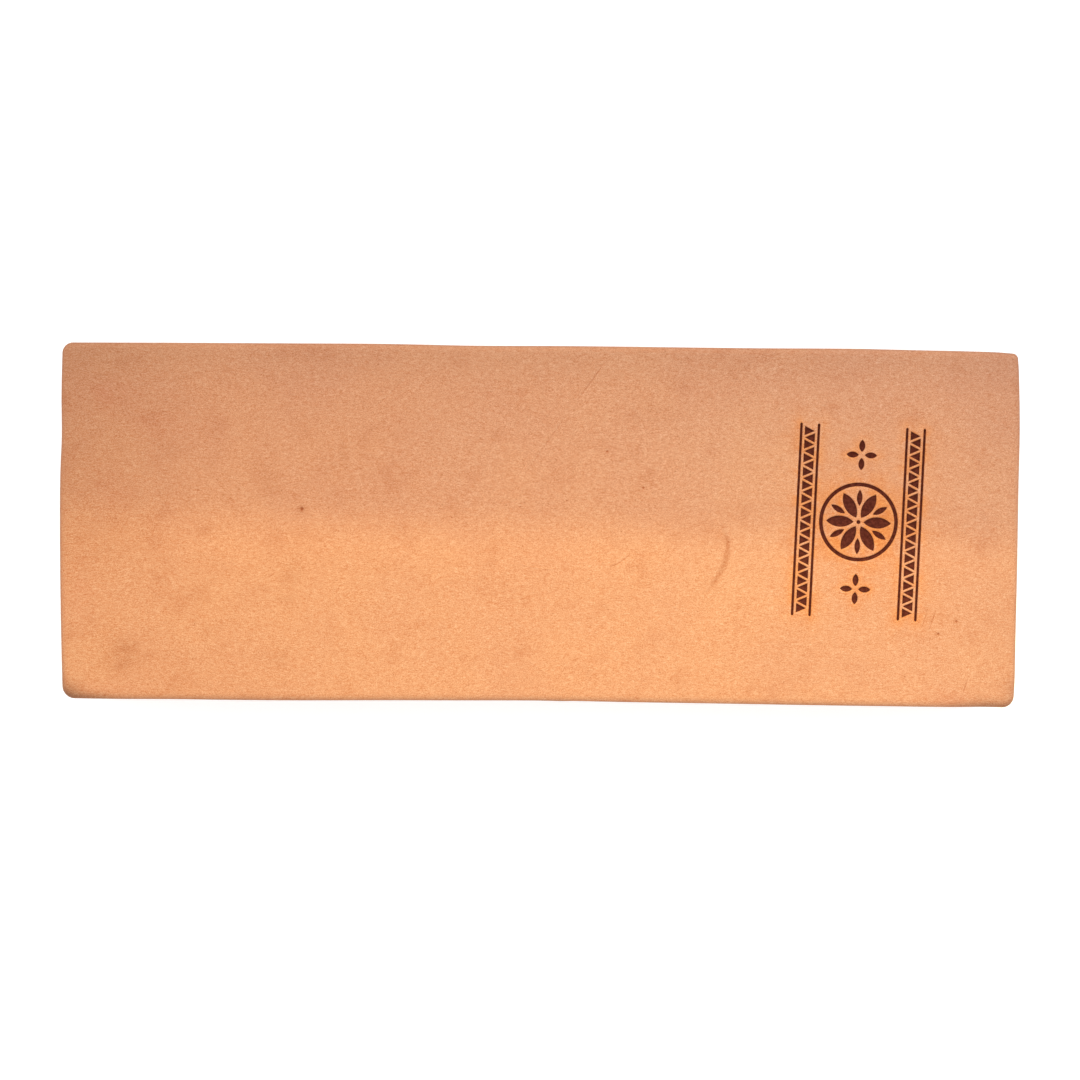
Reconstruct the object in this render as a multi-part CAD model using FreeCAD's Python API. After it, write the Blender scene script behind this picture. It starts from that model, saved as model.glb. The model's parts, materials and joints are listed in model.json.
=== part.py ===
import FreeCAD, Part
import os
from FreeCAD import Vector

# A two-sided bench strop: a planed beech block with leather glued to both faces. The upper
# leather has its smooth grain side out, and the lower one its suede side. Millimetres.
# Frame: the origin is the centre of the resting face at the bottom, +X runs along the
# block towards the ornamented end, +Y across it, and +Z up out of the smooth honing face.

# --- Driving dimensions -----------------------------------------------------------------
LEATHER_LENGTH = 203.1
LEATHER_WIDTH = 76.0
LEATHER_THICKNESS = 3.2
GLUE_THICKNESS = 0.2
CORE_THICKNESS = 18.0

# The block is planed straight and stays a little inside the hand-trimmed leather.
CORE_LENGTH = 200.8
CORE_WIDTH = 74.4
CORE_CORNER_RADIUS = 2.0

# The free edge of each leather is rounded over where a blade would meet it.
SMOOTH_ROUNDOVER = 1.2
SUEDE_ROUNDOVER = 0.6

# A leather is trimmed by hand, so each corner lies this far inside the nominal rectangle
# along X and along Y, and has its own radius. Corners run round from the front left.
SMOOTH_CORNERS = [
    {"x_side": -1, "y_side": -1, "inset": (1.05, 0.12), "radius": 2.7},
    {"x_side": 1, "y_side": -1, "inset": (0.70, 0.03), "radius": 2.6},
    {"x_side": 1, "y_side": 1, "inset": (0.35, 0.65), "radius": 1.3},
    {"x_side": -1, "y_side": 1, "inset": (0.25, 0.46), "radius": 2.3},
]
# How far the middle of each edge bows outwards: front, right, back, left.
SMOOTH_BOWS = [-0.42, 0.40, 0.43, 0.60]

SUEDE_CORNERS = [
    {"x_side": -1, "y_side": -1, "inset": (0.50, 0.45), "radius": 2.4},
    {"x_side": 1, "y_side": -1, "inset": (0.80, 0.30), "radius": 2.0},
    {"x_side": 1, "y_side": 1, "inset": (0.45, 0.35), "radius": 2.6},
    {"x_side": -1, "y_side": 1, "inset": (0.75, 0.50), "radius": 2.2},
]
SUEDE_BOWS = [0.25, -0.20, -0.30, 0.20]

# --- Heights of the layers, from the resting face up --------------------------------------
LOWER_GLUE_Z = LEATHER_THICKNESS
CORE_Z = LOWER_GLUE_Z + GLUE_THICKNESS
UPPER_GLUE_Z = CORE_Z + CORE_THICKNESS
SMOOTH_Z = UPPER_GLUE_Z + GLUE_THICKNESS


def bowed_edge(start, end, bow):
    """A circular arc from start to end whose middle stands out by bow to its right."""
    along = (end - start).normalize()
    outwards = Vector(along.y, -along.x, 0)
    middle = (start + end) * 0.5 + outwards * bow
    return Part.Arc(start, middle, end).toShape()


def rounded_outline(corners, bows):
    """The trimmed edge of a leather: four bowed edges joined by a rounded corner each."""
    points = [
        Vector(
            corner["x_side"] * (LEATHER_LENGTH / 2 - corner["inset"][0]),
            corner["y_side"] * (LEATHER_WIDTH / 2 - corner["inset"][1]),
            0,
        )
        for corner in corners
    ]
    ends = points[1:] + points[:1]
    edges = [bowed_edge(start, end, bow) for start, end, bow in zip(points, ends, bows)]
    arcs = []
    for place, corner in enumerate(corners):
        rounding = Part.ChFi2d.FilletAlgo(edges[place - 1], edges[place], Part.Plane())
        rounding.perform(corner["radius"])
        arc, edges[place - 1], edges[place] = rounding.result(points[place])
        arcs.append(arc)
    return Part.Wire(Part.sortEdges(arcs + edges)[0])


def leather(corners, bows, roundover):
    """A leather slab standing at height zero, with the rim of its upper face rounded over."""
    outline = rounded_outline(corners, bows)
    slab = Part.Face(outline).extrude(Vector(0, 0, LEATHER_THICKNESS))
    slab.translate(Vector(-slab.BoundBox.Center.x, -slab.BoundBox.Center.y, 0))
    rim = [edge for edge in slab.Edges if edge.BoundBox.ZMin > LEATHER_THICKNESS / 2]
    return slab.makeFillet(roundover, rim)


def block(bottom_z, thickness):
    """A rectangular layer of the core's length and width, with rounded upright corners."""
    corner = Vector(-CORE_LENGTH / 2, -CORE_WIDTH / 2, bottom_z)
    layer = Part.makeBox(CORE_LENGTH, CORE_WIDTH, thickness, corner)
    upright = [edge for edge in layer.Edges if edge.BoundBox.ZLength > thickness / 2]
    return layer.makeFillet(CORE_CORNER_RADIUS, upright)


def smooth_leather():
    """The upper, smooth honing face."""
    slab = leather(SMOOTH_CORNERS, SMOOTH_BOWS, SMOOTH_ROUNDOVER)
    slab.translate(Vector(0, 0, SMOOTH_Z))
    return slab


def suede_leather():
    """The lower, coarse honing face, turned over so that its rounded rim is at the bottom."""
    slab = leather(SUEDE_CORNERS, SUEDE_BOWS, SUEDE_ROUNDOVER)
    slab.rotate(Vector(0, 0, LEATHER_THICKNESS / 2), Vector(1, 0, 0), 180)
    return slab


def main():
    pieces = {
        "smooth_leather": smooth_leather(),
        "upper_glue": block(UPPER_GLUE_Z, GLUE_THICKNESS),
        "wood_core": block(CORE_Z, CORE_THICKNESS),
        "lower_glue": block(LOWER_GLUE_Z, GLUE_THICKNESS),
        "suede_leather": suede_leather(),
    }
    os.makedirs("parts", exist_ok=True)
    for name, shape in pieces.items():
        solid = shape.Solids[0]
        box = solid.optimalBoundingBox()
        size = f"{box.XLength:.2f} x {box.YLength:.2f} x {box.ZLength:.2f} mm"
        print(f"{name}: {size}, volume {solid.Volume:.0f} mm3, valid {solid.isValid()}")
        solid.exportStep(f"parts/{name}.step")


main()
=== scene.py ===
import json
import math

import bpy
import numpy as np
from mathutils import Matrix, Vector, noise
from mathutils.geometry import delaunay_2d_cdt
from mathutils.kdtree import KDTree

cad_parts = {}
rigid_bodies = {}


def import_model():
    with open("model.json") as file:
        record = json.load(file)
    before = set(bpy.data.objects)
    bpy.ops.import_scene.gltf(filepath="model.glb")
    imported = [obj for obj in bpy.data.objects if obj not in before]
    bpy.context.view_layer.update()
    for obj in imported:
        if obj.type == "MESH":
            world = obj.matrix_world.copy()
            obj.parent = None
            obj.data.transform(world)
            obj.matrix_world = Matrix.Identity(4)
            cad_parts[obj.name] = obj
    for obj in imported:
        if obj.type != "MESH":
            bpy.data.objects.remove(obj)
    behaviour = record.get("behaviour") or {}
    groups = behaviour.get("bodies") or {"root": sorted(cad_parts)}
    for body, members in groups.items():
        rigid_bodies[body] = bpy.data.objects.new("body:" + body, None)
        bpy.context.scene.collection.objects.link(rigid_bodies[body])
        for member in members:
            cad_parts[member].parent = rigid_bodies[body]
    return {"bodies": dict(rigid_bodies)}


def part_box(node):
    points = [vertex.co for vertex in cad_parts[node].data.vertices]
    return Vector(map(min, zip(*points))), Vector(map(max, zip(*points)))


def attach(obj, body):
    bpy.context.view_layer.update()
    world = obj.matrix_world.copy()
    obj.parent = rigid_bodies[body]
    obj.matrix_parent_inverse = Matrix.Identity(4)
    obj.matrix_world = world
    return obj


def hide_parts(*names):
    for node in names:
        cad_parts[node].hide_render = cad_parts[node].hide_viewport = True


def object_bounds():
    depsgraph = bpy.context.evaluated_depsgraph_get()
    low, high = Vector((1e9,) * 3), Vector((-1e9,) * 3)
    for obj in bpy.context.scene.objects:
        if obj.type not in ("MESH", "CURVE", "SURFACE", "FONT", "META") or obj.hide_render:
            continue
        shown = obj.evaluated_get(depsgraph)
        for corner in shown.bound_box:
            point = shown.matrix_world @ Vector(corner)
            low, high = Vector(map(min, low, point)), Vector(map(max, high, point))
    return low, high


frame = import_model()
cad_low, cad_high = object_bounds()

# A two-sided bench strop seen from straight above. Shapes are worked out in millimetres and
# turned into metres when a piece is made.
MM = 0.001
BODY = next(iter(frame["bodies"]))
# How many points go round the bend of a corner.
CORNER_POINTS = 10
# Two points closer than this are one point to the triangulation.
SAME_POINT = 1e-6

# --- Outlines, as the hand-trimmed leathers and the planed block have them -------------------
# Corners run round from the front left, and each has an inset along X and Y, and a radius. Bows
# give how far the middle of each edge stands out. A swell is a place, its reach, and how far the
# knife strayed outwards there.
SIDES = ((-1, -1), (1, -1), (1, 1), (-1, 1))
LEATHER_SIZE = (203.1, 76.0)
SMOOTH_EDGE = {
    "size": LEATHER_SIZE,
    "corners": [((1.05, 0.12), 2.7), ((0.7, 0.03), 2.6), ((0.35, 0.65), 1.3), ((0.25, 0.46), 2.3)],
    "bows": [-0.42, 0.4, 0.43, 0.6],
    "swells": [
        ((-88, -38), 8, 0.09),
        ((-56, -38), 24, 0.26),
        ((2, -38), 15, -0.15),
        ((60, -38), 20, 0.07),
        ((96, -38), 6, -0.23),
        ((-30, 38), 20, 0.08),
        ((-14, 38), 14, -0.2),
        ((68, 38), 18, 0.26),
        ((90, 38), 9, 0.09),
        ((101, 38), 3, -0.21),
        ((101, 22), 10, 0.24),
        ((101, -33), 6, 0.14),
        ((-101, 18), 6, -0.26),
    ],
}
SUEDE_EDGE = {
    "size": LEATHER_SIZE,
    "corners": [((0.5, 0.45), 2.4), ((0.8, 0.3), 2.0), ((0.45, 0.35), 2.6), ((0.75, 0.5), 2.2)],
    "bows": [0.25, -0.2, -0.3, 0.2],
    "swells": [((-40, 38), 20, 0.2), ((60, -38), 16, -0.2), ((101, 5), 12, 0.15)],
}
CORE_EDGE = {
    "size": (200.8, 74.4),
    "corners": [((0, 0), 2.0)] * 4,
    "bows": [0, 0, 0, 0],
    "swells": [],
}


def node_heights(node):
    """The lowest and highest height of a CAD node, in millimetres."""
    low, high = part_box(node)
    return low[2] / MM, high[2] / MM


def right_of(direction):
    """The unit vector to the right of a direction in the plane."""
    unit = direction / np.linalg.norm(direction)
    return np.array([unit[1], -unit[0]])


def outline(edge, spacing):
    """Points round an outline, and the outward normal at each."""
    half = np.array(edge["size"]) / 2
    insets, radii = zip(*edge["corners"])
    corners = [np.array(side) * (half - np.array(inset)) for side, inset in zip(SIDES, insets)]
    ends = corners[1:] + corners[:1]
    controls = [
        (start + end) / 2 + right_of(end - start) * 2 * bow
        for start, end, bow in zip(corners, ends, edge["bows"])
    ]
    points, normals = [], []
    for place, corner in enumerate(corners):
        into = right_of(corner - controls[place - 1])
        out_of = right_of(controls[place] - corner)
        centre = corner - radii[place] * (into + out_of) / (1 + into @ out_of)
        first, last = (math.atan2(normal[1], normal[0]) for normal in (into, out_of))
        turn = (last - first) % (2 * math.pi)
        for angle in np.linspace(first, first + turn, CORNER_POINTS):
            normal = np.array([math.cos(angle), math.sin(angle)])
            points.append(centre + radii[place] * normal)
            normals.append(normal)

        length = np.linalg.norm(ends[place] - corner)
        start, stop = radii[place] / length, 1 - radii[(place + 1) % 4] / length
        for share in np.linspace(start, stop, round(length / spacing))[1:-1]:
            rest = 1 - share
            bowed = rest**2 * corner + 2 * rest * share * controls[place] + share**2 * ends[place]
            along = rest * (controls[place] - corner) + share * (ends[place] - controls[place])
            points.append(bowed)
            normals.append(right_of(along))
    points, normals = np.array(points), np.array(normals)
    points -= (points.min(axis=0) + points.max(axis=0)) / 2
    for place, reach, out in edge["swells"]:
        near = np.exp(-((points - place) ** 2).sum(axis=1) / reach**2)
        points += out * near[:, None] * normals
    return points, normals


def perlin(points, size, seed):
    """Smooth noise from -1 to 1 at each point, with features of about that size."""
    shift = Vector((seed, seed, seed))
    return np.array([noise.noise(Vector((*point, 0.0)) / size + shift) for point in points])


def add_object(name, data):
    made = bpy.data.objects.new(name, data)
    bpy.context.collection.objects.link(made)
    return made


class Shell:
    """A closed mesh in the making, out of rings that rise and two caps."""

    def __init__(self):
        self.points, self.faces = [], []

    def ring(self, plan, height):
        """Adds a ring of points at a height, or at a height for each, and gives their numbers."""
        heights = np.broadcast_to(height, len(plan))
        first = len(self.points)
        self.points += [(*point, level) for point, level in zip(plan, heights)]
        return list(range(first, len(self.points)))

    def walls(self, rings):
        """Joins each ring to the next one with four-sided faces."""
        for lower, upper in zip(rings, rings[1:]):
            for place in range(len(lower)):
                after = (place + 1) % len(lower)
                self.faces.append((lower[place], lower[after], upper[after], upper[place]))

    def cap(self, rim, inner, loops, height, upwards):
        """Closes a ring with triangles through the inner points and along the loops' edges."""
        plan = [Vector(self.points[number][:2]) for number in rim]
        edges = [(place, (place + 1) % len(rim)) for place in range(len(rim))]
        for loop in loops:
            first, count = len(plan), len(loop)
            plan += [Vector(point) for point in loop]
            edges += [(first + place, first + (place + 1) % count) for place in range(count)]
        plan += [Vector(point) for point in inner]
        inside = 1
        made, _, triangles, sources, _, _ = delaunay_2d_cdt(plan, edges, [], inside, SAME_POINT)
        places = np.array([(point.x, point.y) for point in made])
        heights = height(places)
        numbers = []
        for place, source in enumerate(sources):
            on_rim = [number for number in source if number < len(rim)]
            if on_rim:
                numbers.append(rim[on_rim[0]])
            else:
                numbers.append(len(self.points))
                self.points.append((*places[place], heights[place]))
        for triangle in triangles:
            corners = [numbers[place] for place in triangle]
            a, b, c = (np.array(self.points[number][:2]) for number in corners)
            counter_clockwise = (b[0] - a[0]) * (c[1] - a[1]) > (b[1] - a[1]) * (c[0] - a[0])
            self.faces.append(corners if counter_clockwise == upwards else corners[::-1])

    def lift(self, height):
        self.points = [(x, y, z + height) for x, y, z in self.points]

    def turn_over(self, top):
        """Turns the shell upside down, so that what stood on zero hangs from a height."""
        self.points = [(x, -y, top - z) for x, y, z in self.points]

    def piece(self, name, material, attributes):
        """Makes the Blender object, with a value of each attribute for each point."""
        mesh = bpy.data.meshes.new(name)
        mesh.from_pydata((np.array(self.points) * MM).tolist(), [], self.faces)
        mesh.shade_smooth()
        mesh.materials.append(material)
        for label, values in attributes.items():
            layer = mesh.attributes.new(label, "FLOAT", "POINT")
            layer.data.foreach_set("value", np.asarray(values, dtype=np.float32))
        return add_object(name, mesh)


def grid(low, high, spacing, seed):
    """Points of a loose grid between two corners, each nudged off its place."""
    chance = np.random.default_rng(seed)
    nudge = 0.3
    across = [np.arange(a + spacing / 2, b, spacing) for a, b in zip(low, high)]
    points = np.stack(np.meshgrid(*across), axis=-1).reshape(-1, 2)
    return points + chance.uniform(-nudge, nudge, points.shape) * spacing


def smooth_step(values):
    """An even rise from 0 to 1 that starts and ends gently."""
    values = np.clip(values, 0, 1)
    return values * values * (3 - 2 * values)


# --- Grooves pressed into the grain ---------------------------------------------------------
# Each shape of groove says how far inside it a point lies, and gives its outline at an inset.
# A kind has its depth, the width of its sloping wall, whether it is burnt, and how much it stains
# the hide. A crease stands up instead.
LOOP_STEP = 0.35
STROKE_STEP = 0.5
NARROWEST = 0.03
BURN = {"depth": 0.34, "wall": 0.26, "burnt": True, "stain": 0.0}
NICK = {"depth": 0.1, "wall": 0.14, "burnt": False, "stain": 1.0}
SCRATCH = {"depth": 0.05, "wall": 0.12, "burnt": False, "stain": 0.5}
SCAR = {"depth": 0.12, "wall": 0.6, "burnt": False, "stain": 0.6}
CREASE = {"depth": -0.06, "wall": 0.14, "burnt": False, "stain": 0.0}


def arc(centre, radius, first, last):
    """Points along an arc, leaving out the last one."""
    count = max(3, math.ceil(abs(last - first) * radius / LOOP_STEP))
    angles = np.linspace(first, last, count, endpoint=False)
    return centre + radius * np.stack([np.cos(angles), np.sin(angles)], axis=-1)


class Ring:
    """A circular groove, or a round dot if it has no inner radius."""

    def __init__(self, centre, outer, inner=0.0, kind=BURN):
        self.centre, self.outer, self.inner, self.kind = np.array(centre), outer, inner, kind

    def inside(self, points):
        radius = np.linalg.norm(points - self.centre, axis=1)
        return np.minimum(self.outer - radius, radius - self.inner if self.inner else np.inf)

    def loops(self, inset):
        radii = [self.outer - inset]
        if self.inner:
            radii.append(self.inner + inset)
        if len(radii) == 2 and radii[0] <= radii[1] or radii[0] <= 0:
            return []
        return [arc(self.centre, radius, 0, 2 * math.pi) for radius in radii]


class Petal:
    """A burnt, pointed oval between two points, bounded by two equal arcs."""

    kind = BURN

    def __init__(self, start, end, width):
        start, end = np.array(start), np.array(end)
        bulge, half_chord = width / 2, np.linalg.norm(end - start) / 2
        self.radius = (half_chord**2 + bulge**2) / (2 * bulge)
        self.reach = self.radius - bulge
        self.across = right_of(end - start)
        self.centres = [(start + end) / 2 + side * self.reach * self.across for side in (1, -1)]

    def inside(self, points):
        return self.radius - np.maximum(
            *(np.linalg.norm(points - centre, axis=1) for centre in self.centres)
        )

    def loops(self, inset):
        radius = self.radius - inset
        if radius <= self.reach:
            return []
        spread = math.acos(self.reach / radius)
        facing = math.atan2(self.across[1], self.across[0])
        near = arc(self.centres[1], radius, facing - spread, facing + spread)
        far = arc(self.centres[0], radius, facing + math.pi - spread, facing + math.pi + spread)
        return [np.concatenate([near, far])]


class Wedge:
    """A burnt, triangular chip."""

    kind = BURN

    def __init__(self, corners):
        # The loops shrink towards the centre of the inscribed circle.
        self.corners = np.array(corners, dtype=float)
        sides = np.linalg.norm(np.roll(self.corners, -1, 0) - np.roll(self.corners, 1, 0), axis=1)
        self.centre = (sides[:, None] * self.corners).sum(axis=0) / sides.sum()
        self.inradius = self.inside(self.centre[None])[0]

    def inside(self, points):
        distances = []
        for start, end in zip(self.corners, np.roll(self.corners, -1, 0)):
            normal = right_of(end - start)
            normal = normal if (self.corners.mean(axis=0) - start) @ normal > 0 else -normal
            distances.append((points - start) @ normal)
        return np.min(distances, axis=0)

    def loops(self, inset):
        if inset >= self.inradius:
            return []
        shrunk = self.centre + (self.corners - self.centre) * (1 - inset / self.inradius)
        sides = zip(shrunk, np.roll(shrunk, -1, 0))
        count = 5
        return [np.concatenate([np.linspace(a, b, count, endpoint=False) for a, b in sides])]


class Stroke:
    """A narrow groove along a line. Its ends may thin out to a quarter of its width."""

    def __init__(self, path, width, kind=BURN, thin_ends=False):
        self.kind = kind
        self.path = evenly_spaced(np.array(path, dtype=float), STROKE_STEP)
        share = np.linspace(0, 1, len(self.path))
        fade = 0.25 + 0.75 * np.sin(math.pi * share) ** 0.7 if thin_ends else np.ones(len(share))
        self.half = width / 2 * fade

    def inside(self, points):
        best = np.full(len(points), -np.inf)
        ends = zip(self.path[:-1], self.path[1:], self.half[:-1], self.half[1:])
        for start, end, half, next_half in ends:
            along = end - start
            share = np.clip((points - start) @ along / (along @ along), 0, 1)
            distance = np.linalg.norm(points - start - share[:, None] * along, axis=1)
            best = np.maximum(best, half + share * (next_half - half) - distance)
        return best

    def loops(self, inset):
        wide = self.half - inset > NARROWEST
        if wide.sum() < 3:
            return []
        path, half = self.path[wide], (self.half - inset)[wide]
        along = np.gradient(path, axis=0)
        along /= np.linalg.norm(along, axis=1)[:, None]
        across = np.array([right_of(step) for step in along]) * half[:, None]
        first, last = path[0] - along[0] * half[0], path[-1] + along[-1] * half[-1]
        return [np.concatenate([[first], path + across, [last], (path - across)[::-1]])]


def evenly_spaced(path, spacing):
    """The same line with points about that far apart."""
    lengths = np.concatenate([[0], np.cumsum(np.linalg.norm(np.diff(path, axis=0), axis=1))])
    wanted = np.linspace(0, lengths[-1], max(2, round(lengths[-1] / spacing) + 1))
    return np.stack([np.interp(wanted, lengths, path[:, axis]) for axis in (0, 1)], axis=-1)


def curve_through(start, middle, end):
    """Points on the parabola that passes through three points."""
    count = 24
    start, middle, end = (np.array(point, dtype=float) for point in (start, middle, end))
    control = 2 * middle - (start + end) / 2
    share = np.linspace(0, 1, count)[:, None]
    return (1 - share) ** 2 * start + 2 * (1 - share) * share * control + share**2 * end


# How far in from the edge the rim is darker: partly a burnished edge, partly painted shade where the
# rim rolls over.
RIM_REACH = 0.32
# The lip that burning pushes up beside a groove: its height, and how far off the groove it stands.
LIP_HEIGHT = 0.05
LIP_OFF = 0.2
# How far scorching spreads from each burnt groove and from the ornament's centre, and how strong
# it is right beside a groove.
HEAT_REACH = 1.1
HEAT_CLOUD = 10.4
HEAT_NEAR_GROOVES = 0.8

# The ornament: a six-petalled rosette between two chip-carved borders, a pattern as old as
# whittling. It sits where a maker would burn a mark, turned a little off square.
ORNAMENT_CENTRE = (67.6, 1.2)
ORNAMENT_TURN = math.radians(-2.3)
BORDER_OUT = 11.2
BORDER_HALF_LENGTH = 20.2
BORDER_CHIPS = 14
BORDER_LINE_OFF = 1.85
BORDER_LINE_WIDTH = 0.65
CHIP_GAP = 0.36
CHIP_REACH = 1.15
SPRIG_OUT = 14.2
# The mesh is finer over this much of the leather to either side of the ornament's centre.
ORNAMENT_REACH = (16.0, 23.5)
ORNAMENT_STEP = 0.4

# Soft patches in the grain face: place, reach along X and Y, strength. A smudge is a brown stain,
# a flush is redder hide, the near corners carry painted shade, and some of the hide is paler.
SMUDGES = [
    ((-86.4, -26.6), (2.0, 2.2), 0.75),
    ((-89.2, -29.6), (2.6, 2.0), 0.68),
    ((-87.0, -28.0), (5.0, 3.6), 0.24),
    ((-50.1, 2.8), (0.8, 0.8), 1.2),
    ((-52.0, -10.0), (2.2, 3.0), 0.4),
    ((-53.0, -16.5), (2.5, 2.5), 0.3),
    ((-57.0, 9.0), (2.0, 4.0), 0.4),
    ((-70.3, -1.9), (2.0, 1.5), 0.35),
    ((-69.9, -23.4), (1.8, 1.5), 0.3),
    ((-41.3, 14.5), (1.5, 3.0), 0.35),
    ((-77.0, 14.6), (3.0, 1.5), 0.3),
    ((-54.6, -29.0), (3.0, 2.0), 0.3),
    ((-38.9, 1.7), (1.2, 1.2), 0.3),
    ((26.0, 23.5), (5.0, 3.0), 0.25),
    ((88.5, -19.6), (0.5, 0.5), 1.2),
    ((84.7, -22.3), (0.55, 0.45), 1.2),
]
FLUSHES = [
    ((-91.0, 26.3), (4.0, 3.0), 0.8),
    ((-81.4, 20.7), (5.0, 2.5), 0.35),
    ((-91.0, 6.0), (6.0, 5.0), 0.5),
    ((-97.0, -14.0), (3.5, 8.0), 0.4),
    ((-93.0, -36.0), (9.0, 1.8), 0.5),
    ((88.0, -36.2), (6.0, 1.6), 0.6),
]
# Painted shade on the near corners, where the rolled-over edges face away from the light.
CORNER_SHADE = [
    ((-97.5, -37.6), (7.0, 1.3), 0.7),
    ((-99.8, -36.0), (3.0, 1.8), 0.55),
    ((-100.8, -33.0), (0.9, 3.5), 0.3),
    ((97.0, -37.4), (8.0, 1.3), 0.55),
    ((100.5, -35.0), (1.5, 3.0), 0.2),
]
PALE = [
    ((45.0, 17.0), (35.0, 14.0), 0.8),
    ((-15.0, 17.0), (14.0, 9.0), 0.4),
    ((43.0, -8.0), (18.0, 8.0), 0.6),
    ((97.0, 12.0), (9.0, 14.0), 0.45),
]
PATCHES = {"smudge": SMUDGES, "flush": FLUSHES, "corner_shade": CORNER_SHADE, "pale": PALE}

# Knocks in the block's sides: place, height, reach and depth.
KNOCKS = [
    ((-62.0, -37.2), 19.5, 1.6, 0.35),
    ((18.0, -37.2), 5.5, 1.1, 0.25),
    ((74.0, 37.2), 12.0, 1.4, 0.25),
    ((100.4, 21.0), 18.5, 1.5, 0.3),
]


def in_ornament(point):
    """A place in the ornament's own frame, turned and moved onto the leather."""
    cosine, sine = math.cos(ORNAMENT_TURN), math.sin(ORNAMENT_TURN)
    x, y = point
    return (
        ORNAMENT_CENTRE[0] + cosine * x - sine * y,
        ORNAMENT_CENTRE[1] + sine * x + cosine * y,
    )


def spoke(angle, near, far, width, centre=(0, 0)):
    """A petal that points away from a centre."""
    direction = np.array([math.cos(angle), math.sin(angle)])
    ends = [in_ornament(centre + reach * direction) for reach in (near, far)]
    return Petal(*ends, width)


def border(side):
    """Two fine lines with a zigzag of triangular chips between them."""
    pitch = 2 * BORDER_HALF_LENGTH / BORDER_CHIPS
    grooves = []
    for line in (-BORDER_LINE_OFF, BORDER_LINE_OFF):
        ends = [(side * BORDER_OUT + line, way * BORDER_HALF_LENGTH) for way in (-1, 1)]
        grooves.append(Stroke([in_ornament(end) for end in ends], BORDER_LINE_WIDTH))
    for chip in range(BORDER_CHIPS):
        middle = -BORDER_HALF_LENGTH + (chip + 0.5) * pitch
        for way, shift in ((1, 0), (-1, pitch / 2)):
            if middle + shift + pitch / 2 > BORDER_HALF_LENGTH + CHIP_GAP:
                continue
            base = side * BORDER_OUT - way * CHIP_REACH
            apex = side * BORDER_OUT + way * CHIP_REACH
            corners = [
                (base, middle + shift - pitch / 2 + CHIP_GAP),
                (base, middle + shift + pitch / 2 - CHIP_GAP),
                (apex, middle + shift),
            ]
            grooves.append(Wedge([in_ornament(corner) for corner in corners]))
    return grooves


def ornament():
    """The borders, the ringed rosette between them, and a four-petalled sprig at either side."""
    grooves = border(-1) + border(1)
    grooves.append(Ring(in_ornament((0, 0)), 8.4, 7.5))
    grooves.append(Ring(in_ornament((0, 0)), 0.5))
    for sixth in range(6):
        angle = sixth * math.pi / 3
        grooves.append(spoke(angle, 0.95, 6.95, 2.5))
        grooves.append(spoke(angle + math.pi / 6, 3.3, 6.95, 1.3))
    for way in (-1, 1):
        for quarter in range(4):
            sprig = (0, way * SPRIG_OUT)
            grooves.append(spoke(quarter * math.pi / 2, 0.55, 3.3, 1.4, sprig))
    return grooves


def marks():
    """The hide's own scars, and the nicks and pinholes of use."""
    # Each line is three points that it passes through, its width and its kind.
    lines = [
        ([(38.3, 0.6), (39.8, -6.5), (35.3, -14.3)], 1.8, SCAR),
        ([(13.9, 35.0), (11.0, 30.6), (7.4, 25.8)], 0.4, SCRATCH),
        ([(7.2, 25.4), (1.8, 17.6), (-4.7, 8.2)], 0.26, SCRATCH),
        ([(-26.5, 33.8), (-30.6, 28.5), (-36.0, 23.7)], 0.3, SCRATCH),
        ([(19.8, -5.6), (17.6, -7.6), (14.5, -9.0)], 0.3, NICK),
        ([(82.4, -16.4), (82.0, -18.6), (81.0, -21.4)], 0.34, NICK),
        ([(84.2, -17.0), (83.6, -19.0), (82.7, -21.5)], 0.34, NICK),
        ([(90.1, -34.6), (90.6, -33.0), (91.2, -31.4)], 0.36, NICK),
        ([(23.7, -14.8), (28.0, -16.6), (33.3, -19.4)], 0.3, CREASE),
        ([(-2.6, -28.2), (1.0, -30.8), (3.8, -32.4)], 0.3, CREASE),
        ([(-4.9, -7.9), (0.5, -9.3), (5.6, -8.9)], 0.3, CREASE),
        ([(11.3, -2.3), (11.5, -5.0), (11.3, -7.5)], 0.3, CREASE),
        ([(98.2, 21.7), (99.2, 21.8), (100.3, 21.6)], 0.34, CREASE),
        ([(98.4, 18.5), (99.4, 18.4), (100.4, 18.5)], 0.34, CREASE),
        ([(98.3, 12.6), (99.3, 12.7), (100.3, 12.6)], 0.34, CREASE),
    ]
    grooves = []
    for path, width, kind in lines:
        grooves.append(Stroke(curve_through(*path), width, kind, thin_ends=True))
    # Each pinhole is a place and a radius.
    pinholes = [
        ((-50.1, 2.8), 0.42),
        ((14.3, 15.6), 0.34),
        ((22.0, 8.0), 0.34),
        ((5.9, 5.1), 0.24),
        ((-18.4, 1.3), 0.26),
        ((-4.0, 3.7), 0.24),
        ((84.7, -22.3), 0.34),
        ((88.5, -19.6), 0.32),
    ]
    for place, radius in pinholes:
        grooves.append(Ring(place, radius, kind=NICK))
    return grooves


# --- Shells ---------------------------------------------------------------------------------
def depth_inside(points, plan, normals):
    """How far each point lies inside an outline."""
    depth = np.empty(len(points))
    batch = 4000
    for start in range(0, len(points), batch):
        part = slice(start, start + batch)
        offsets = points[part, None] - plan[None]
        nearest = np.argmin((offsets**2).sum(axis=2), axis=1)
        own = np.arange(len(offsets))
        depth[part] = -(offsets[own, nearest] * normals[nearest]).sum(axis=1)
    return depth


def inner_grid(plan, normals, spacing, seed, margin):
    """A loose grid of points that lie at least that far inside an outline."""
    points = grid(plan.min(axis=0), plan.max(axis=0), spacing, seed)
    return points[depth_inside(points, plan, normals) > margin]


def flat_at(level):
    """A height for each place of a cap, the same for all."""
    return lambda places: np.full(len(places), level)


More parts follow.
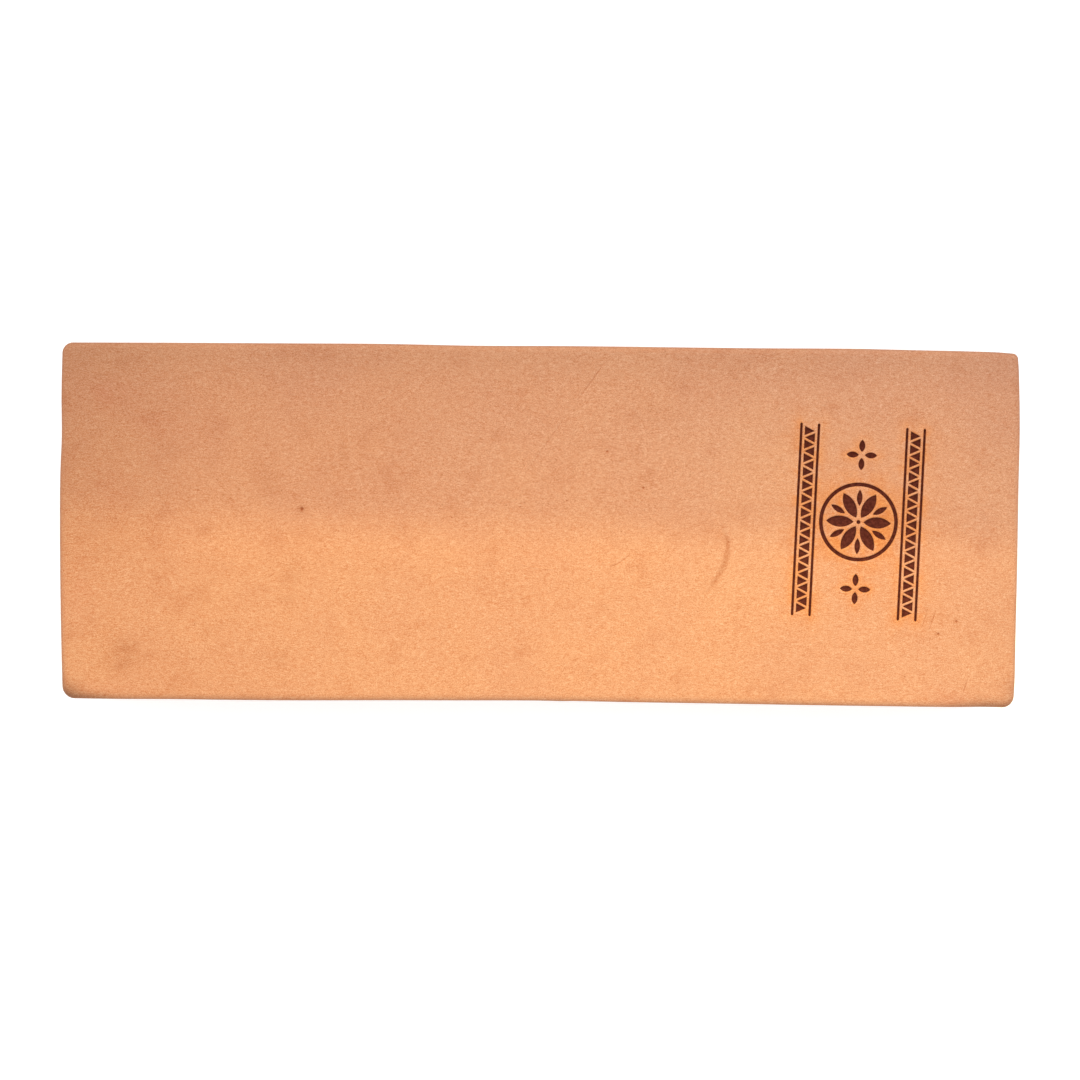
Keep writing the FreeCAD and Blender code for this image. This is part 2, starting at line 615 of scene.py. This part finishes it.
def clear_of(points, loops, distance):
    """The points that keep that far from every point of the loops."""
    taken = np.concatenate(loops)
    tree = KDTree(len(taken))
    for place, point in enumerate(taken):
        tree.insert((*point, 0), place)
    tree.balance()
    return np.array([point for point in points if tree.find((*point, 0))[2] > distance])


def groove_profile(grooves, points):
    """How deep the grooves are at each point, how burnt and how stained it is there, and how far
    off the nearest burnt groove is."""
    depth, burn, scar = (np.zeros(len(points)) for _ in range(3))
    off = np.full(len(points), np.inf)
    for groove in grooves:
        inside = groove.inside(points)
        share = smooth_step(inside / groove.kind["wall"])
        cut = groove.kind["depth"] * share
        depth = np.where(np.abs(cut) > np.abs(depth), cut, depth)
        scar = np.maximum(scar, share * groove.kind["stain"])
        if groove.kind["burnt"]:
            burn = np.maximum(burn, share)
            off = np.minimum(off, np.maximum(-inside, 0))
    return depth, burn, scar, off


def lip_share(off):
    """How much of the pushed-up lip there is at each distance off the burnt grooves."""
    return np.exp(-(((off - LIP_OFF) / LIP_OFF) ** 2))


def soft_patches(patches, points):
    """The sum of soft round patches at each point, at most 1."""
    total = np.zeros(len(points))
    for place, reach, strength in patches:
        total += strength * np.exp(-(((points - place) / reach) ** 2).sum(axis=1))
    return np.minimum(total, 1)


def fray(plan, level):
    """How far in the rough cut edge lies at each point of an outline, at one height."""
    coarse = np.abs(perlin(plan, 2.1, level * 3))
    fine = np.abs(perlin(plan, 0.9, level * 9))
    return 0.07 * coarse + 0.04 * fine


def leather_looks(points, plan, normals, height, rim_down, grooves):
    """What the material of a leather needs to know at each point."""
    flat = points[:, :2]
    inset = np.maximum(depth_inside(flat, plan, normals), 0)
    on_face = smooth_step((points[:, 2] - height + rim_down) / (0.7 * rim_down))
    _, burn, scar, off = groove_profile(grooves, flat)
    from_centre = np.linalg.norm(flat - ORNAMENT_CENTRE, axis=1)
    cloud = np.exp(-((from_centre / HEAT_CLOUD) ** 4))
    # The rim and the corner patches carry painted shade, and the lip carries a painted highlight.
    looks = {
        "rim": np.exp(-inset / RIM_REACH),
        "burn": burn,
        "lip": lip_share(off) * (1 - burn),
        "scar": scar,
        "warmed": np.maximum(HEAT_NEAR_GROOVES * np.exp(-off / HEAT_REACH), cloud),
    }
    looks |= {label: soft_patches(patches, flat) for label, patches in PATCHES.items()}
    looks = {label: values * on_face for label, values in looks.items()}
    return {"cut": 1 - on_face, "down": height - points[:, 2], **looks}


def leather_slab(edge, height, rim_across, rim_down, wave, grooves=()):
    """A slab standing on zero: rough cut edge, pillowed rim, and a wavy, grooved free face.
    Returns the shell and what its material needs to know at each point."""
    shell = Shell()
    plan, normals = outline(edge, spacing=0.7)
    step = 0.9

    def face_height(places):
        # The noise runs from -1.5 to 1.5, so only lips and creases rise above the height.
        ripple = wave * (perlin(places, 15.0, 3.1) + 0.5 * perlin(places, 4.0, 8.7) - 1.5)
        depth, burn, _, off = groove_profile(grooves, places)
        return height + ripple + LIP_HEIGHT * lip_share(off) * (1 - burn) - depth

    shoulder = height - rim_down
    eased, lowest = 0.3, 0.15
    rings = [shell.ring(plan - eased * normals, 0.0)]
    for level in np.linspace(lowest, shoulder, 7):
        rings.append(shell.ring(plan - fray(plan, level)[:, None] * normals, level))
    rim_face = face_height(plan - rim_across * normals)
    for angle in np.linspace(0, math.pi / 2, 9)[1:]:
        inset = rim_across * (1 - math.cos(angle))
        level = shoulder + (rim_face - shoulder) * math.sin(angle)
        rings.append(shell.ring(plan - inset * normals, level))
    shell.walls(rings)

    face = inner_grid(plan, normals, step, seed=11, margin=rim_across + step / 2)
    loops = [
        loop
        for groove in grooves
        for inset in (-LIP_OFF, 0.0, groove.kind["wall"] / 2, groove.kind["wall"])
        for loop in groove.loops(inset)
    ]
    if loops:
        reach = np.array(ORNAMENT_REACH)
        outside = np.any(np.abs(face - ORNAMENT_CENTRE) > reach, axis=1)
        fine = grid(ORNAMENT_CENTRE - reach, ORNAMENT_CENTRE + reach, ORNAMENT_STEP, seed=12)
        face = clear_of(np.concatenate([face[outside], fine]), loops, 0.4 * ORNAMENT_STEP)
    shell.cap(rings[-1], face, loops, face_height, upwards=True)
    under = inner_grid(plan, normals, spacing=6.0, seed=13, margin=3.5)
    shell.cap(rings[0], under, [], flat_at(0.0), upwards=False)

    points = np.array(shell.points)
    return shell, leather_looks(points, plan, normals, height, rim_down, grooves)


def smooth_leather():
    """The honing face: smooth grain, pillowed all round, with the ornament burnt into one end."""
    bottom, top = node_heights("smooth_leather")
    shell, looks = leather_slab(
        SMOOTH_EDGE,
        top - bottom,
        rim_across=1.45,
        rim_down=1.15,
        wave=0.035,
        grooves=ornament() + marks(),
    )
    shell.lift(bottom)
    return shell.piece("smooth_leather_slab", grain_leather(), looks)


def suede_leather():
    """The coarse face underneath, the same hide glued flesh side out."""
    bottom, top = node_heights("suede_leather")
    shell, looks = leather_slab(SUEDE_EDGE, top - bottom, rim_across=0.9, rim_down=0.6, wave=0.03)
    shell.turn_over(top)
    looks = {label: looks[label] for label in ("cut", "down")}
    return shell.piece("suede_leather_slab", suede(), looks)


def knocked_in(plan, level):
    """How far the knocks dent the block at each point of its outline, at one height."""
    total = np.zeros(len(plan))
    for place, height, reach, depth in KNOCKS:
        off = ((plan - place) ** 2).sum(axis=1) + (level - height) ** 2
        total += depth * np.exp(-off / reach**2)
    return total


def wood_block():
    """The planed core, with its arrises eased and a few knocks in its sides."""
    bottom, top = node_heights("wood_core")
    plan, normals = outline(CORE_EDGE, spacing=1.0)
    eased = 0.3
    shell = Shell()
    levels = [bottom, bottom + eased * 0.3, bottom + eased]
    levels += list(np.linspace(bottom + eased, top - eased, 20)[1:-1])
    levels += [top - eased, top - eased * 0.3, top]
    rings = []
    for level in levels:
        from_arris = min(level - bottom, top - level)
        share = 1 - min(1.0, from_arris / eased)
        inset = eased * (1 - math.sqrt(max(0.0, 1 - share**2)))
        sanded = 0.02 * (perlin(plan + level, 9.0, 2.0) + 1)
        inwards = inset + sanded + knocked_in(plan, level)
        rings.append(shell.ring(plan - inwards[:, None] * normals, level))
    shell.walls(rings)
    inner = inner_grid(plan, normals, spacing=6.0, seed=14, margin=3.5)
    shell.cap(rings[-1], inner, [], flat_at(top), upwards=True)
    shell.cap(rings[0], inner, [], flat_at(bottom), upwards=False)
    points = np.array(shell.points)
    from_arris = np.minimum(points[:, 2] - bottom, top - points[:, 2])
    # How far from the top and bottom arrises the wood is darker.
    arris_reach = 0.5
    end_grain = np.zeros(len(points))
    end_grain[: len(rings) * len(plan)] = np.tile(normals[:, 0] ** 2, len(rings))
    looks = {"near_arris": np.exp(-from_arris / arris_reach), "end": end_grain}
    return shell.piece("beech_block", beech(), looks)


def glue_film(name, node, towards_leather):
    """A brushed film with the bead that squeezed out beside the block. towards_leather is 1 if
    the leather is above the film, and -1 if it is below. The bead creeps onto the block."""
    bottom, top = node_heights(node)
    thickness = top - bottom
    plan, normals = outline(CORE_EDGE, spacing=0.8)
    # How far the bead stands out: a long swell and a short one.
    seed = 20.0 + towards_leather
    bead = 0.16 + 0.16 * perlin(plan, 11.0, seed) + 0.1 * perlin(plan, 2.5, seed)
    bead = np.clip(bead, -0.02, 0.42)
    creep = np.maximum(bead, 0.0)
    # Each ring's way out and height, round the bead from the block to the leather.
    profile = [
        (-1.2, 0.0),
        (0.0, 0.0),
        (0.25 * bead, -0.9 * creep),
        (0.75 * bead, -0.55 * creep),
        (bead, 0.5 * thickness),
        (bead, thickness),
        (-1.2, thickness),
    ]
    shell = Shell()
    rings = []
    for out, level in profile:
        offset = np.broadcast_to(out, len(plan))[:, None] * normals
        rings.append(shell.ring(plan + offset, level))
    shell.walls(rings)
    inner = inner_grid(plan, normals, spacing=8.0, seed=15, margin=5.0)
    shell.cap(rings[-1], inner, [], flat_at(thickness), upwards=True)
    shell.cap(rings[0], inner, [], flat_at(0.0), upwards=False)
    if towards_leather > 0:
        shell.lift(bottom)
    else:
        shell.turn_over(top)
    return shell.piece(name, contact_cement(), {})


# --- Materials ------------------------------------------------------------------------------
# Sizes in the materials are in millimetres, and a tint is what a colour is multiplied by.
UNTINTED = (1.0, 1.0, 1.0)


class Nodes:
    """A node tree in the making."""

    def __init__(self, tree):
        self.tree = tree

    def make(self, kind, inputs=None, **settings):
        """A new node with those inputs, each a value or another node's output."""
        node = self.tree.nodes.new(kind)
        for key, value in settings.items():
            setattr(node, key, value)
        for key, value in (inputs or {}).items():
            self.put(node.inputs[key], value)
        return node

    def put(self, socket, value):
        if isinstance(value, bpy.types.NodeSocket):
            self.tree.links.new(value, socket)
        else:
            socket.default_value = value

    def mix(self, share, a, b, blend="MIX"):
        """The first colour where share is 0, and the second where it is 1."""
        a, b = ((*colour, 1.0) if isinstance(colour, tuple) else colour for colour in (a, b))
        node = self.make("ShaderNodeMix", data_type="RGBA", blend_type=blend)
        self.put(node.inputs[0], share)
        self.put(node.inputs[6], a)
        self.put(node.inputs[7], b)
        return node.outputs[2]


class Look(Nodes):
    """A material in the making, with a short call for each kind of node. It keeps the colour, and
    each tint multiplies that."""

    def __init__(self, name):
        self.material = bpy.data.materials.new(name)
        self.material.use_nodes = True
        super().__init__(self.material.node_tree)
        self.shader = next(node for node in self.tree.nodes if node.type == "BSDF_PRINCIPLED")
        place = self.make("ShaderNodeTexCoord").outputs["Object"]
        self.place = self.vector("DIVIDE", place, (MM, MM, MM))
        self.colour = UNTINTED

    def vector(self, operation, a, b):
        return self.make("ShaderNodeVectorMath", {0: a, 1: b}, operation=operation).outputs[0]

    def math(self, operation, a, b=0.0):
        return self.make("ShaderNodeMath", {0: a, 1: b}, operation=operation).outputs[0]

    def plus(self, a, b):
        return self.math("ADD", a, b)

    def times(self, a, b):
        return self.math("MULTIPLY", a, b)

    def stretched(self, along, place=None):
        """The place in millimetres, drawn out so that features are that many times longer."""
        return self.vector("DIVIDE", place or self.place, along)

    def sway(self, size, reach):
        """A slow wander of the place in every direction, up to about that many millimetres."""
        inputs = {"Vector": self.place, "Scale": 1 / size, "Detail": 2.0}
        wander = self.make("ShaderNodeTexNoise", inputs).outputs["Color"]
        centred = self.vector("SUBTRACT", wander, (0.5, 0.5, 0.5))
        return self.vector("MULTIPLY", centred, (2 * reach, 2 * reach, 2 * reach))

    def noise(self, size, detail=2.0, roughness=0.5, place=None, distortion=0.0):
        """Noise from 0 to 1 with features of about that size."""
        inputs = {"Vector": place or self.place, "Scale": 1 / size, "Detail": detail}
        inputs |= {"Roughness": roughness, "Distortion": distortion}
        return self.make("ShaderNodeTexNoise", inputs).outputs["Fac"]

    def cells(self, size, place=None):
        """The distance to the nearest of scattered points that are about that far apart."""
        inputs = {"Vector": place or self.place, "Scale": 1 / size}
        return self.make("ShaderNodeTexVoronoi", inputs).outputs["Distance"]

    def remap(self, value, low=0.3, high=0.7, to_low=0.0, to_high=1.0):
        """A smooth step from one number to another as the value goes from low to high."""
        inputs = {"Value": value, "From Min": low, "From Max": high}
        inputs |= {"To Min": to_low, "To Max": to_high}
        node = self.make("ShaderNodeMapRange", inputs, interpolation_type="SMOOTHSTEP")
        return node.outputs["Result"]

    def vary(self, value, least, most, low=0.3, high=0.7):
        """Scales the colour by least to most as the value goes from low to high."""
        factor = self.remap(value, low, high, least, most)
        grey = self.make("ShaderNodeCombineXYZ", {0: factor, 1: factor, 2: factor}).outputs[0]
        self.colour = self.mix(1.0, self.colour, grey, "MULTIPLY")

    def tint(self, share, low, high):
        """Tints the colour one way where share is 0 and another where it is 1."""
        self.colour = self.mix(1.0, self.colour, self.mix(share, low, high), "MULTIPLY")

    def stain(self, share, full):
        """Tints the colour where share is 1, and leaves it as it is where share is 0."""
        self.tint(share, UNTINTED, full)

    def cover(self, share, over):
        """Hides the colour under another one where share is 1."""
        self.colour = self.mix(share, self.colour, over)

    def attribute(self, name):
        return self.make("ShaderNodeAttribute", attribute_name=name).outputs["Fac"]

    def axis(self, name):
        return self.make("ShaderNodeSeparateXYZ", {0: self.place}).outputs[name]

    def bump(self, height, distance, strength=1.0, under=None):
        inputs = {"Height": height, "Distance": distance * MM, "Strength": strength}
        if under:
            inputs["Normal"] = under
        return self.make("ShaderNodeBump", inputs).outputs["Normal"]

    def finish(self, roughness, normal, **constants):
        self.put(self.shader.inputs["Base Color"], self.colour)
        self.put(self.shader.inputs["Roughness"], roughness)
        self.put(self.shader.inputs["Normal"], normal)
        for label, value in constants.items():
            self.shader.inputs[label.replace("_", " ")].default_value = value
        return self.material


def colour_cut_edge(look, skin_from, skin_to):
    """Colours the fibres of the cut edge: paler than the grain, in layers along the edge, darker
    towards the skin, whose tint grows between two depths below the free face, and darker along
    the glued rim, where glue has soaked in."""
    cut = look.attribute("cut")
    surface = look.colour
    layers = look.noise(0.4, 4, 0.65, look.stretched((9, 9, 1)))
    fibres = look.noise(0.16, 3, 0.8, look.stretched((3, 3, 1)))
    down = look.attribute("down")
    look.colour = look.mix(look.remap(layers, 0.35, 0.68), (0.5, 0.262, 0.13), (0.6, 0.345, 0.19))
    look.vary(fibres, 0.84, 1.12)
    look.stain(look.remap(down, skin_from, skin_to), (0.72, 0.58, 0.46))
    look.stain(look.remap(down, 2.8, 3.25), (0.8, 0.74, 0.66))
    look.colour = look.mix(cut, surface, look.colour)


def grain_leather():
    """Vegetable-tanned grain, whose fibres lie along the strop and wander a little."""
    look = Look("grain_leather")
    wavy = look.vector("ADD", look.place, look.sway(20.0, 2.6))
    lying = look.stretched((1.75, 1, 1), wavy)
    streaked = look.stretched((5, 1, 1), wavy)
    hide = look.noise(24.0, 3, 0.5)
    blotch = look.noise(6.5, 5, 0.62)
    mottle = look.noise(0.85, 3, 0.6, lying)
    fibre = look.noise(0.22, 3, 0.7, streaked)
    grain = look.noise(0.15, 2, 0.75, lying)
    speckle = look.noise(0.33, 2, 0.7, lying)
    pores = look.cells(1.3)

    look.colour = look.mix(look.remap(hide, 0.38, 0.62), (0.729, 0.315, 0.158), (0.751, 0.328, 0.161))
    look.stain(look.remap(blotch, 0.52, 0.72), (0.94, 0.89, 0.86))
    clouds = look.remap(mottle)
    look.tint(clouds, (0.975, 0.955, 0.935), (1.025, 1.045, 1.065))
    look.tint(look.remap(fibre), (0.94, 0.84, 0.76), (1.05, 1.145, 1.24))
    look.tint(look.remap(grain), (0.83, 0.67, 0.54), (1.15, 1.31, 1.45))
    look.tint(look.remap(speckle, 0.27, 0.41), (0.89, 0.8, 0.74), UNTINTED)
    look.stain(look.remap(speckle, 0.6, 0.72), (1.04, 1.11, 1.17))
    pore = look.plus(pores, look.times(mottle, 0.25))
    look.tint(look.remap(pore, 0.16, 0.27), (0.82, 0.73, 0.65), UNTINTED)

    # Darker and browner towards the left end, painted shade where the light falls off there; a little
    # cooler and darker towards the right.
    along = look.axis("X")
    look.tint(look.remap(along, -104, 20), (0.92, 0.9, 0.88), UNTINTED)
    look.stain(look.remap(along, 30, 104), (0.98, 1.0, 1.06))
    look.tint(look.remap(along, -106, -64), (0.88, 0.88, 0.88), UNTINTED)
    look.stain(look.remap(along, 80, 106), (0.94, 0.94, 0.95))
    # A little darker in the near half, except towards the left end, and darker along the far edge,
    # where the darkening is painted shade.
    away = look.axis("Y")
    look.stain(look.remap(away, 4, -14), (0.95, 0.968, 0.975))
    look.stain(look.remap(away, 27, 37), (0.965, 0.985, 0.985))
    # The near half is lighter towards the left end.
    lighter_near_left = look.times(look.remap(along, -66, -100), look.remap(away, -2, -16))
    look.stain(lighter_near_left, (1.09, 1.1, 1.12))
    # Stains, painted shade on the near corners, a rim that is partly burnished and partly painted
    # shade, and the scorched, raised hide round the burnt grooves, with a painted highlight on its
    # lip.
    ragged = look.remap(look.noise(3.2, 4, 0.65), 0.36, 0.6, 0.4, 1.0)
    patchy = look.remap(look.noise(4.5, 3, 0.6), 0.4, 0.58, 0.4, 1.0)
    stains = [
        ("smudge", ragged, (0.8, 0.68, 0.58)),
        ("flush", ragged, (0.97, 0.87, 0.86)),
        ("pale", None, (1.04, 1.1, 1.12)),
        # Painted shade on the near corners.
        ("corner_shade", None, (0.45, 0.44, 0.46)),
        ("warmed", patchy, (1.04, 0.74, 0.33)),
        # A painted highlight on the raised lip beside the burnt grooves.
        ("lip", None, (1.04, 1.12, 1.26)),
        # Along the rim: partly a burnished edge, partly painted shade.
        ("rim", None, (0.58, 0.52, 0.5)),
        ("scar", None, (0.74, 0.56, 0.42)),
    ]
    for label, broken, full in stains:
        share = look.attribute(label)
        look.stain(look.times(share, broken) if broken else share, full)
    char = look.remap(look.noise(0.7, 4, 0.7), 0.35, 0.72)
    burnt = look.mix(char, (0.075, 0.008, 0.002), (0.155, 0.028, 0.013))
    burn = look.attribute("burn")
    look.cover(look.remap(burn, 0.05, 0.45), burnt)
    colour_cut_edge(look, 1.9, 1.1)

    relief = look.plus(look.times(grain, 0.7), look.times(fibre, 0.8))
    normal = look.bump(relief, 0.05, 0.6)
    cut_fibres = look.noise(0.3, 4, 0.7, look.stretched((4, 4, 1)))
    rough_cut = look.times(cut_fibres, look.attribute("cut"))
    normal = look.bump(rough_cut, 0.15, 0.8, normal)
    roughness = look.remap(look.plus(mottle, blotch), 0.7, 1.3, 0.5, 0.66)
    roughness = look.plus(roughness, look.times(burn, 0.25))
    return look.finish(roughness, normal, Specular_IOR_Level=0.2)


def suede():
    """The flesh side: a brushed nap that catches the light."""
    look = Look("suede")
    brushed = look.vector("ADD", look.place, look.sway(14.0, 3.0))
    nap = look.noise(0.45, 5, 0.75, look.stretched((2.6, 1, 1), brushed))
    strands = look.noise(0.8, 3, 0.7, look.stretched((7, 1, 1), brushed))
    lay = look.noise(19.0, 3, 0.5, distortion=0.3)
    tufts = look.cells(0.8, look.stretched((1.8, 1, 1)))
    look.colour = look.mix(look.remap(lay, 0.35, 0.65), (0.46, 0.28, 0.165), (0.53, 0.335, 0.205))
    look.vary(nap, 0.76, 1.2)
    look.vary(strands, 0.88, 1.1, 0.32, 0.68)
    look.vary(tufts, 1.04, 0.9, 0.0, 0.8)
    colour_cut_edge(look, 2.3, 2.9)
    relief = look.plus(nap, look.times(tufts, -0.5))
    relief = look.plus(relief, look.times(strands, 0.7))
    normal = look.bump(relief, 0.28, 0.9)
    roughness = look.remap(nap, 0.3, 0.7, 0.86, 0.98)
    return look.finish(
        roughness, normal, Specular_IOR_Level=0.15, Sheen_Weight=0.35, Sheen_Roughness=0.5
    )


def beech():
    """Planed beech: growth rings round a pith that lies below the board, the short dark flecks of
    rays on the sides, and pale rays that fan out on the ends."""
    look = Look("beech")
    wander = look.noise(30.0, 2, 0.5, look.stretched((6, 1, 1)))
    parts = look.make("ShaderNodeSeparateXYZ", {0: look.place})
    across = look.plus(parts.outputs["Y"], 11.0)
    up = look.plus(parts.outputs["Z"], 46.0)
    squares = look.plus(look.math("POWER", across, 2.0), look.math("POWER", up, 2.0))
    radius = look.math("SQRT", squares)
    wobble = look.noise(7.0, 2, 0.5, look.stretched((8, 1, 1)))
    wavy = look.plus(radius, look.times(wander, 5.0))
    wavy = look.plus(wavy, look.times(wobble, 0.9))
    season = look.math("FRACT", look.math("DIVIDE", wavy, 3.1))
    late = look.math("POWER", season, 5.0)
    pores = look.cells(0.33, look.stretched((9, 1, 1)))
    flecks = look.remap(look.cells(1.25, look.stretched((3.2, 0.62, 0.62))), 0.1, 0.17, 1.0, 0.0)
    fibre = look.noise(0.5, 4, 0.7, look.stretched((26, 1, 1)))
    tone = look.noise(24.0, 2, 0.5, look.stretched((5, 1, 1)))
    turn = look.times(look.math("ARCTAN2", across, up), 60.0)
    fan = {
        0: look.math("DIVIDE", turn, 0.34),
        1: look.math("DIVIDE", radius, 7.0),
        2: parts.outputs["X"],
    }
    rays = look.noise(1.0, 1, 0.5, look.make("ShaderNodeCombineXYZ", fan).outputs[0])
    end = look.attribute("end")
    look.colour = look.mix(look.remap(tone, 0.35, 0.65), (0.53, 0.298, 0.167), (0.595, 0.355, 0.205))
    look.cover(look.times(late, 0.55), (0.36, 0.185, 0.092))
    look.vary(fibre, 0.93, 1.05)
    look.cover(look.times(flecks, 0.6), (0.235, 0.115, 0.06))
    look.vary(pores, 0.86, 1.0, 0.0, 0.25)
    look.stain(end, (0.84, 0.79, 0.74))
    shown = look.times(look.remap(rays, 0.56, 0.68), end)
    look.stain(shown, (1.16, 1.19, 1.22))
    # Darker along the top and bottom arrises, next to the glue films.
    arris_dark = look.times(look.attribute("near_arris"), 0.3)
    look.cover(arris_dark, (0.42, 0.24, 0.13))
    relief = look.plus(look.remap(pores, 0.0, 0.3), look.times(fibre, 0.6))
    normal = look.bump(relief, 0.06, 0.5)
    roughness = look.remap(fibre, 0.3, 0.7, 0.42, 0.58)
    return look.finish(roughness, normal, Specular_IOR_Level=0.4)


def contact_cement():
    """Dried, amber-brown contact cement with strings in it."""
    look = Look("contact_cement")
    strings = look.noise(1.2, 3, 0.6, look.stretched((2, 2, 1)))
    look.colour = look.mix(look.remap(strings, 0.35, 0.65), (0.34, 0.165, 0.055), (0.5, 0.3, 0.12))
    roughness = look.remap(strings, 0.3, 0.7, 0.28, 0.45)
    return look.finish(roughness, look.bump(strings, 0.1, 0.6), Specular_IOR_Level=0.5)


def studio_floor():
    """White paper that glows a little, so that it comes out white and keeps a trace of shadow."""
    look = Look("studio_floor")
    paper = look.noise(1.5, 3, 0.6)
    look.colour = (0.93, 0.93, 0.93)
    look.vary(paper, 0.995, 1.0)
    look.shader.inputs["Emission Color"].default_value = (1, 1, 1, 1)
    roughness = look.remap(paper, 0.3, 0.7, 0.85, 0.9)
    return look.finish(roughness, look.bump(paper, 0.02, 0.3), Emission_Strength=FLOOR_GLOW)


# --- Studio, in metres, radians and watts ---------------------------------------------------
ROOM_NEAR = (0.56, 0.59, 0.64)
ROOM_FAR = (1.34, 1.37, 1.41)
LAMP_DISTANCE = 1.0
LAMP_SHIFT = 0.15
LAMP_COLOUR = (1.0, 0.92, 0.34)
# The small lamp draws the line along the strop's middle. The wide one fades across its far half.
LAMPS = {
    "key": {"height": math.radians(62), "size": 0.06, "power": 2.4},
    "fill": {"height": math.radians(68), "size": 0.4, "power": 3.0},
}
# The flag's height above the strop, and where its shadow begins on the leather.
FLAG_HEIGHT = 0.12
SHADE_LINE = -0.0005
SHADE_SLOPE = math.radians(1.2)
FLOOR_GLOW = 0.44
LENS = 85.0
SENSOR = 36.0
SEEN_WIDTH = 0.22833
CAMERA_OFFSET = (0.0003, -0.00328)
CAMERA_TURN = math.radians(0.587)


def plate(name, corners, material=None):
    """A flat face of the studio, which is no part of the strop."""
    mesh = bpy.data.meshes.new(name)
    mesh.from_pydata(corners, [], [tuple(range(len(corners)))])
    if material:
        mesh.materials.append(material)
    made = add_object(name, mesh)
    return made


def floor():
    """A sheet of white paper under the strop."""
    half = 6.0
    corners = [(x * half, y * half, cad_low[2]) for x, y in SIDES]
    return plate("studio_floor", corners, studio_floor())


def sky():
    """A pale, cool room, brighter on the far side of the strop than on the near side. Seen
    directly it is plain white."""
    world = bpy.data.worlds.new("studio")
    world.use_nodes = True
    bpy.context.scene.world = world
    world.node_tree.nodes.clear()
    nodes = Nodes(world.node_tree)
    direction = nodes.make("ShaderNodeTexCoord").outputs["Generated"]
    away = nodes.make("ShaderNodeSeparateXYZ", {0: direction}).outputs["Y"]
    ends = {"Value": away, "From Min": -1, "From Max": 1}
    share = nodes.make("ShaderNodeMapRange", ends).outputs["Result"]
    seen = nodes.make("ShaderNodeLightPath").outputs["Is Camera Ray"]
    colour = nodes.mix(seen, nodes.mix(share, ROOM_NEAR, ROOM_FAR), (1, 1, 1))
    light = nodes.make("ShaderNodeBackground", {"Color": colour}).outputs[0]
    nodes.make("ShaderNodeOutputWorld", {0: light})


def lamps():
    """Warm lamps beyond the far edge, and the flag that keeps them off the far half."""
    top = Vector((0, 0, cad_high[2]))
    for name, lamp in LAMPS.items():
        towards = Vector((0, math.cos(lamp["height"]), math.sin(lamp["height"])))
        light = bpy.data.lights.new(name, "AREA")
        light.shape = "DISK"
        light.size = lamp["size"]
        light.color = LAMP_COLOUR
        light.energy = lamp["power"]
        held = add_object(name, light)
        held.location = top + towards * LAMP_DISTANCE + Vector((LAMP_SHIFT, 0, 0))
        held.rotation_euler = towards.to_track_quat("Z", "Y").to_euler()

    edge = SHADE_LINE + FLAG_HEIGHT / math.tan(LAMPS["key"]["height"])
    half = 0.5
    tilt = math.tan(SHADE_SLOPE) * half
    level = cad_high[2] + FLAG_HEIGHT
    near = [(-half, edge + tilt, level), (half, edge - tilt, level)]
    far = [(half, edge + 1, level), (-half, edge + 1, level)]
    flag = plate("flag", near + far)
    flag.visible_camera = flag.visible_diffuse = flag.visible_glossy = False


def camera():
    """Straight above, a little off the strop's middle, turned so that the strop's long edges fall
    slightly towards the right."""
    distance = SEEN_WIDTH * LENS / SENSOR
    data = bpy.data.cameras.new("camera")
    data.lens = LENS
    data.sensor_width = SENSOR
    data.clip_start = 0.01
    data.clip_end = 50
    made = add_object("camera", data)
    made.location = (*CAMERA_OFFSET, cad_high[2] + distance)
    made.rotation_euler = (0, 0, CAMERA_TURN)
    bpy.context.scene.camera = made


def main():
    """Sets up the camera, makes the five pieces with their places in the CAD, and lights them."""
    bpy.context.scene.view_settings.view_transform = "Standard"
    camera()
    pieces = {
        "smooth_leather": smooth_leather(),
        "upper_glue": glue_film("upper_glue_film", "upper_glue", 1),
        "wood_core": wood_block(),
        "lower_glue": glue_film("lower_glue_film", "lower_glue", -1),
        "suede_leather": suede_leather(),
    }
    for node, piece in pieces.items():
        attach(piece, BODY)
        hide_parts(node)
    floor()
    sky()
    lamps()


main()
